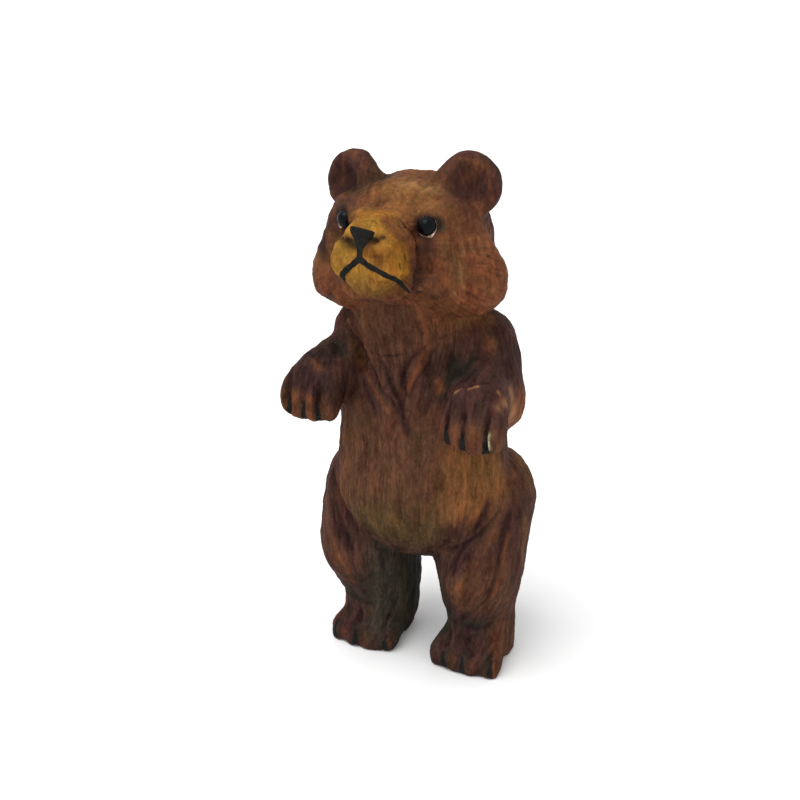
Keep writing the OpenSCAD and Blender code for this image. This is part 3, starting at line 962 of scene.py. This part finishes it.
class Surface:
    """Finds where lines from outside meet the carved skin."""

    LOOK_FROM = 6 * MM
    TOO_FAR = 2.5 * MM      # a hit this much further off than the nearest skin is on another limb

    def __init__(self, skin):
        self.tree = BVHTree.FromPolygons((skin.at * MM).tolist(), skin.quads.tolist())

    def under(self, point, facing):
        """The place on the skin under a point in mm, looking against facing, and the normal there."""
        facing = Vector(facing).normalized()
        start = Vector(point) * MM + facing * self.LOOK_FROM
        found = self.tree.ray_cast(start, -facing, 2 * self.LOOK_FROM)
        nearest = self.tree.find_nearest(Vector(point) * MM)
        if found[0] is None or (found[0] - nearest[0]).length > self.TOO_FAR:
            found = nearest
        return np.array(found[0]) / MM, np.array(found[1])


def curve_through(points, count, closed=False):
    """count points along a smooth curve through the given ones."""
    points = [np.array(p, float) for p in points]
    ring = points if closed else [2 * points[0] - points[1], *points, 2 * points[-1] - points[-2]]
    spans = len(points) if closed else len(points) - 1
    made = []
    for k in range(count):
        place = k * spans / (count if closed else count - 1)
        i = min(int(place), spans - 1)
        t = place - i
        p0, p1, p2, p3 = [ring[(i + j - closed) % len(ring)] for j in range(4)]
        made.append(0.5 * (2 * p1 + (p2 - p0) * t + (2 * p0 - 5 * p1 + 4 * p2 - p3) * t ** 2
                           + (3 * p1 - p0 - 3 * p2 + p3) * t ** 3))
    return np.array(made)


def brush_line(name, surface, points, widths, facing, thick=0.12, closed=False, uneven=0.08, phase=0.0):
    """A line of paint or glue on the skin, with a domed top, through points and as wide there as widths say,
    in mm at 90 mm tall. uneven is how much its edge wavers, and phase shifts the waves along."""
    count, columns, sunk = 12 * len(points), 8, 0.03 * UNIT
    centres = curve_through([mm(*p) for p in points], count, closed)
    breadth = curve_through([(w * UNIT,) for w in widths], count, closed)[:, 0]
    run = np.cumsum(np.linalg.norm(np.diff(centres, axis=0, prepend=centres[:1]), axis=1)) / UNIT
    breadth *= 1 + uneven * (np.sin(3.1 * run + phase) + 0.6 * np.sin(7.3 * run + 2 * phase))
    top, bottom = [], []
    for k, centre in enumerate(centres):
        ahead = centres[(k + 1) % count] if closed or k < count - 1 else centre
        behind = centres[k - 1] if closed or k > 0 else centre
        across = unit(np.cross(ahead - behind, facing))
        for column in range(columns + 1):
            u = 2 * column / columns - 1
            place, normal = surface.under(centre + across * u * breadth[k] / 2, facing)
            end = 1 if closed else min(1, 0.35 + min(k, count - 1 - k) / 4)
            dome = thick * UNIT * (1 - u ** 4) * end
            top.append(place + normal * (dome - sunk))
            bottom.append(place - normal * 4 * sunk)
    return sheet_object(name, top, bottom, count, columns + 1, closed)


def sheet_object(name, top, bottom, rows, columns, closed):
    """A closed thin piece from two grids of points, in mm. If closed, its last row joins its first."""
    faces, under = [], len(top)
    rounds = rows if closed else rows - 1
    for i in range(rounds):
        for j in range(columns - 1):
            a, b = i * columns + j, (i + 1) % rows * columns + j
            faces.append((a, a + 1, b + 1, b))
            faces.append((under + a, under + b, under + b + 1, under + a + 1))
        for j, flip in ((0, False), (columns - 1, True)):
            a, b = i * columns + j, (i + 1) % rows * columns + j
            wall = (a, b, under + b, under + a)
            faces.append(wall[::-1] if flip else wall)
    if not closed:
        for i, flip in ((0, True), (rows - 1, False)):
            for j in range(columns - 1):
                a = i * columns + j
                wall = (a, a + 1, under + a + 1, under + a)
                faces.append(wall[::-1] if flip else wall)
    mesh = bpy.data.meshes.new(name)
    mesh.from_pydata([tuple(p * MM) for p in top + bottom], [], faces)
    sheet = bmesh.new()
    sheet.from_mesh(mesh)
    bmesh.ops.recalc_face_normals(sheet, faces=sheet.faces)
    sheet.to_mesh(mesh)
    sheet.free()
    mesh.polygons.foreach_set("use_smooth", [True] * len(mesh.polygons))
    return new_object(name, mesh)


def joined(name, parts):
    """Several pieces of the same kind as one."""
    whole = bmesh.new()
    for part in parts:
        whole.from_mesh(part.data)
        bpy.data.objects.remove(part)
    mesh = bpy.data.meshes.new(name)
    whole.to_mesh(mesh)
    whole.free()
    return new_object(name, mesh)


# ---- Materials ----

BUMP_DEPTH = 0.1 * MM
WOOD_GLOW = (1.08, 1.12, 1.12)      # makes up for what the grain takes from the stain


def grey(level):
    return (level, level, level, 1)


class Nodes:
    """Builds a material's node tree with few words."""

    def __init__(self, name):
        self.material = bpy.data.materials.new(name)
        self.material.use_nodes = True
        self.tree = self.material.node_tree
        self.shader = self.tree.nodes["Principled BSDF"]

    def add(self, kind, settings=None, **inputs):
        """A node with its settings, and its inputs by name, or by number as _0, _1 and so on."""
        node = self.tree.nodes.new("ShaderNode" + kind)
        for key, value in (settings or {}).items():
            setattr(node, key, value)
        for key, value in inputs.items():
            self.join(value, node.inputs[int(key[1:]) if key[0] == "_" else key.replace("_", " ")])
        return node

    def join(self, value, socket):
        """Links a node's output to a socket, or sets the socket to a plain value."""
        if isinstance(value, bpy.types.NodeSocket):
            self.tree.links.new(value, socket)
        else:
            socket.default_value = value

    def shade(self, **inputs):
        """The same for the shader's own inputs."""
        for key, value in inputs.items():
            self.join(value, self.shader.inputs[key.replace("_", " ")])

    def read(self, name, output="Fac"):
        return self.add("Attribute", {"attribute_name": name}).outputs[output]

    def math(self, operation, a, b, c=0.0):
        return self.add("Math", {"operation": operation}, _0=a, _1=b, _2=c).outputs[0]

    def noise(self, where, scale, detail=3.0, roughness=0.55):
        node = self.add("TexNoise", Vector=where, Scale=scale, Detail=detail, Roughness=roughness)
        return node.outputs[0]

    def mix(self, factor, a, b, blend="MIX"):
        node = self.add("Mix", {"data_type": "RGBA", "blend_type": blend, "clamp_factor": True})
        self.join(factor, node.inputs[0])
        self.join(a, node.inputs[6])
        self.join(b, node.inputs[7])
        return node.outputs[2]

    def tinted(self, colour, tint):
        """A colour times a plain tint."""
        return self.mix(1.0, colour, (*tint, 1), "MULTIPLY")

    def ramp(self, value, *stops):
        node = self.add("ValToRGB", Fac=value)
        ends = node.color_ramp.elements
        while len(ends) < len(stops):
            ends.new(0.5)
        for end, (place, colour) in zip(ends, stops):
            end.position, end.color = place, colour
        return node.outputs[0]

    def upright(self, where, squeeze):
        """Coordinates for a pattern that is drawn out along Z."""
        return self.add("Mapping", {"vector_type": "POINT"}, Vector=where, Scale=(1, 1, squeeze)).outputs[0]

    def rise(self, value, low, high, most):
        """0 where value is up to low, and most from high on."""
        return self.add("MapRange", Value=value, _1=low, _2=high, _3=0.0, _4=most).outputs[0]

    def bump(self, height, strength):
        return self.add("Bump", Height=height, Strength=strength, Distance=BUMP_DEPTH).outputs[0]


def wood_grain(n, place, fibre, cloud):
    """How light the wood is, 0 to about 1: its grain, streaks, scratches, pores, wear on the ridges and
    painted shade in the hollows.
    """
    mottle = n.noise(n.upright(place, 0.6), 1500, 4, 0.7)
    scratches = n.rise(n.noise(n.upright(place, 0.06), 3800, 1, 0.4), 0.64, 0.7, 0.2)
    pores = n.rise(n.noise(n.upright(place, 0.25), 4600, 2, 0.5), 0.62, 0.74, 0.16)
    tone = n.math("MULTIPLY_ADD", n.read("streak"), 0.4, n.math("MULTIPLY", fibre, 0.3))
    tone = n.math("MULTIPLY_ADD", n.math("SUBTRACT", cloud, 0.18), 0.4, tone)
    tone = n.math("MULTIPLY_ADD", n.math("SUBTRACT", mottle, 0.36), 0.8, tone)
    tone = n.math("SUBTRACT", n.math("ADD", tone, scratches), pores)
    # Ridges lighter for wear, hollows darker as painted shade.
    return n.math("MULTIPLY_ADD", n.read("edge"), 0.35, tone)


def wood_material():
    """Stain over limewood, streaked along the cuts, worn on the ridges, and darkened in the hollows as
    painted shade.
    """
    n = Nodes("stained_wood")
    place = n.add("TexCoord").outputs["Object"]
    fibre = n.noise(n.upright(place, 0.13), 3000, 4, 0.65)
    cloud = n.noise(n.upright(place, 0.5), 340, 3, 0.6)
    tone = wood_grain(n, place, fibre, cloud)
    dim = n.ramp(tone, (0.3, (0.2, 0.19, 0.18, 1)), (0.58, (0.5, 0.49, 0.47, 1)),
                 (0.78, (0.68, 0.67, 0.63, 1)), (1.0, (1.0, 0.98, 0.9, 1)))
    colour = n.read("stain", "Color")
    drift = n.math("MULTIPLY_ADD", cloud, 1.4, n.math("SUBTRACT", n.read("drift"), 1.2))
    warm, cool = [n.tinted(colour, tint) for tint in ((1.1, 0.97, 0.9), (0.88, 0.98, 0.84))]
    colour = n.mix(n.math("MULTIPLY", drift, 1.6), colour, warm)
    colour = n.mix(n.math("MULTIPLY", drift, -1.6), colour, cool)
    blots = n.rise(n.noise(n.upright(place, 0.45), 420, 5, 0.7), 0.5, 0.6, 1.0)
    colour = n.mix(blots, colour, n.tinted(colour, (0.74, 0.66, 0.74)))
    colour = n.tinted(colour, WOOD_GLOW)
    height = n.math("MULTIPLY_ADD", n.read("streak"), 0.5, fibre)
    rough = n.ramp(fibre, (0.3, grey(0.46)), (0.7, grey(0.6)))
    n.shade(Base_Color=n.mix(1.0, colour, dim, "MULTIPLY"), Roughness=rough, Normal=n.bump(height, 0.25),
            Specular_IOR_Level=0.01)
    return n.material


def paint_material():
    """Black paint, matt and a little cloudy."""
    n = Nodes("black_paint")
    cloud = n.noise(n.add("TexCoord").outputs["Object"], 900, 4)
    n.shade(Base_Color=n.ramp(cloud, (0.3, srgb(18, 18, 17)), (0.75, srgb(36, 35, 32))),
            Roughness=n.ramp(cloud, (0.3, grey(0.45)), (0.7, grey(0.7))),
            Normal=n.bump(cloud, 0.3), Specular_IOR_Level=0.04)
    return n.material


def bead_material():
    """Black glass, slightly scuffed."""
    n = Nodes("bead")
    place = n.add("TexCoord").outputs["Object"]
    n.shade(Base_Color=n.ramp(n.noise(place, 600, 2), (0.3, srgb(5, 6, 8)), (0.8, srgb(13, 14, 17))),
            Roughness=n.ramp(n.noise(place, 2200, 3), (0.35, grey(0.16)), (0.8, grey(0.36))),
            Specular_IOR_Level=0.08)
    return n.material


def glue_material():
    """Dried glue, from pale crumbs to brown smears."""
    n = Nodes("glue")
    cloud = n.noise(n.add("TexCoord").outputs["Object"], 1500, 4, 0.7)
    smear, dry, crumb = srgb(110, 76, 56), srgb(170, 142, 118), srgb(226, 214, 200)
    n.shade(Base_Color=n.ramp(cloud, (0.4, smear), (0.52, dry), (0.66, crumb)), Roughness=0.5,
            Normal=n.bump(cloud, 0.5))
    return n.material


# ---- Stage ----

CAMERA_AROUND, CAMERA_ABOVE = math.radians(26.08), math.radians(22.16)
CAMERA_AWAY = 231.5 * MM
CAMERA_LENS = 61.84
AIM_UP, AIM_LEFT, AIM_BACK = 46.55 * MM, 4.2 * MM, 3.2 * MM


def aim(thing, target):
    """Turns a camera or a lamp towards a place."""
    thing.rotation_mode = "QUATERNION"
    thing.rotation_quaternion = (target - thing.location).to_track_quat("-Z", "Y")


def add_camera():
    """A close camera, a little above and to the bear's left."""
    toward = Vector((math.sin(CAMERA_AROUND) * math.cos(CAMERA_ABOVE),
                     -math.cos(CAMERA_AROUND) * math.cos(CAMERA_ABOVE), math.sin(CAMERA_ABOVE)))
    aside = Vector((math.cos(CAMERA_AROUND), math.sin(CAMERA_AROUND), 0))
    target = Vector((0, AIM_BACK, AIM_UP)) - aside * AIM_LEFT
    camera = new_object("camera", bpy.data.cameras.new("camera"))
    camera.location = target + toward * CAMERA_AWAY
    aim(camera, target)
    camera.data.sensor_width, camera.data.lens = 36, CAMERA_LENS
    camera.data.clip_start = 10 * MM
    bpy.context.scene.camera = camera


def add_sun(name, toward, strength, width):
    """A far lamp in the direction toward, whose disc is width degrees across, for soft shadows."""
    lamp = bpy.data.lights.new(name, "SUN")
    lamp.energy, lamp.angle = strength, math.radians(width)
    light = new_object(name, lamp)
    light.location = Vector(toward).normalized() * 0.5
    aim(light, Vector())


def add_stage():
    """A soft key light, a white surround, and a plain pale floor."""
    add_sun("key", toward=(-0.25, -0.5, 1.2), strength=2.0, width=45)
    scene = bpy.context.scene
    scene.world = bpy.data.worlds.new("world")
    scene.world.use_nodes = True
    surround = scene.world.node_tree.nodes["Background"]
    surround.inputs["Color"].default_value = grey(1)
    surround.inputs["Strength"].default_value = 1.0
    scene.view_settings.view_transform = "Standard"
    slab, reach = bpy.data.meshes.new("floor"), 3
    corners = [(-reach, -reach, 0), (reach, -reach, 0), (reach, reach, 0), (-reach, reach, 0)]
    slab.from_pydata(corners, [], [(0, 1, 2, 3)])
    pale = Nodes("pale_floor")
    pale.shade(Base_Color=grey(0.84), Roughness=0.8)
    slab.materials.append(pale.material)
    floor = new_object("floor", slab)


# ---- The pieces ----

def finish_piece(piece, material, slot, *nodes):
    """Gives a piece its material, and puts it in the place of its CAD node. The slot is not used."""
    piece.data.materials.clear()
    piece.data.materials.append(material)
    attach(piece, "root")
    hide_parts(*nodes)


def make_block():
    """The carved and stained block. Returns its skin."""
    skin = Skin(block_mesh())
    marks = carve_block(skin)
    sink_sockets(skin)
    settle(skin)
    paint_block(skin, marks)
    skin.store()
    skin.mesh.polygons.foreach_set("use_smooth", [True] * len(skin.mesh.polygons))
    finish_piece(new_object("bear_block", skin.mesh), wood_material(), "stained_wood", "carved_body")
    return skin


def make_nose(surface, paint):
    """The painted triangle and the stem under it."""
    places = ((0.75, 4.1), (0.65, 3.5), (0.55, 2.7), (0.5, 1.9), (0.45, 1.1), (0.45, 0.3), (0.45, -0.5))
    path = [head(x, -17.5, z) for x, z in places]
    widths = (4.2, 4.1, 3.1, 2.0, 1.25, 1.05, 1.1)
    nose = brush_line("nose", surface, path, widths, turned(0, -1, 0.25), 0.2, uneven=0.03)
    finish_piece(nose, paint, "black_paint", "nose_paint")


def make_mouth(surface, paint):
    """A painted line from the stem of the nose to each corner of the mouth."""
    left = [(0.45, -18, -0.3), (1.8, -17.9, -1.2), (3.2, -17.6, -1.9), (4.3, -17, -2.6), (5.1, -14.6, -3.7),
            (6.0, -12.2, -5.7)]
    right = [(0.45, -18, -0.3), (-0.6, -17.9, -1.2), (-1.8, -17.6, -2.2), (-2.4, -17.2, -3.0),
             (-2.4, -16.6, -4.2)]
    lips = []
    for line, aside, widths in (
        (left, 0.7, (1.0, 0.95, 0.85, 0.85, 0.8, 0.4)),
        (right, -0.3, (1.0, 0.95, 0.9, 1.0, 0.8)),
    ):
        path, facing = [head(*p) for p in line], turned(aside, -1, 0)
        lips.append(brush_line("lip", surface, path, widths, facing, 0.14, uneven=0.07, phase=aside))
    finish_piece(joined("mouth", lips), paint, "black_paint", "mouth_paint")


def make_claws(surface, paint):
    """Black wedges at the feet of the cuts between the fingers and toes."""
    for side, name in ((LEFT, "left"), (RIGHT, "right")):
        fingers, toes = [], []
        for k, x in enumerate(FINGER_CUTS[side]):
            _, _, front, tip, _ = finger_cut(x, side)
            path = [(*front[:2], 49.6), (*front[:2], 47.8), (*tip[:2], 45.9)]
            fingers.append(brush_line("claw", surface, path, (0.25, 0.9, 1.5), (0, -1, 0), 0.1, phase=k))
        finish_piece(joined(f"finger_claws_{name}", fingers), paint, "black_paint", f"claws_fore_{name}")
        for k, x in enumerate(TOE_CUTS[side]):
            path = [(*toe_cut(x, side)[2][:2], z) for z in (3.6, 2, 0.5)]
            facing = (0.15 * side, -1, 0)
            toes.append(brush_line("claw", surface, path, (0.3, 0.9, 1.3), facing, 0.1, phase=k))
        finish_piece(joined(f"toe_claws_{name}", toes), paint, "black_paint", f"claws_hind_{name}")


def make_glue(surface, glue):
    """An uneven ring of glue round each bead, widest under it."""
    count = 16
    for side, name in ((LEFT, "left"), (RIGHT, "right")):
        across, up = turned(0.95, 0.31 * side, 0), turned(0, 0, 1)
        path, widths = [], []
        for angle in (k * math.tau / count for k in range(count)):
            low = max(0, -math.sin(angle - 0.25 * side) - 0.25) ** 0.7
            radius = BEAD_SHOWN[side] / UNIT + 0.02 + 0.12 * low
            path.append(EYE[side] / UNIT + radius * (math.cos(angle) * across + math.sin(angle) * up))
            widths.append(0.04 + 0.36 * low * (1 + 0.8 * math.sin(5 * angle + side)))
        ring = brush_line(f"glue_{name}", surface, path, widths, BEAD_LOOKS[side], 0.16, closed=True,
                          uneven=0.2, phase=side)
        finish_piece(ring, glue, "glue", f"eye_glue_{name}")


def dress(name, material):
    """Gives a CAD node that stays as it is a better material."""
    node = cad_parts[name]
    node.data.materials.clear()
    node.data.materials.append(material)


surface = Surface(make_block())
paint = paint_material()
make_nose(surface, paint)
make_mouth(surface, paint)
make_claws(surface, paint)
make_glue(surface, glue_material())
bead = bead_material()
dress("eye_left", bead)
dress("eye_right", bead)
add_camera()
add_stage()
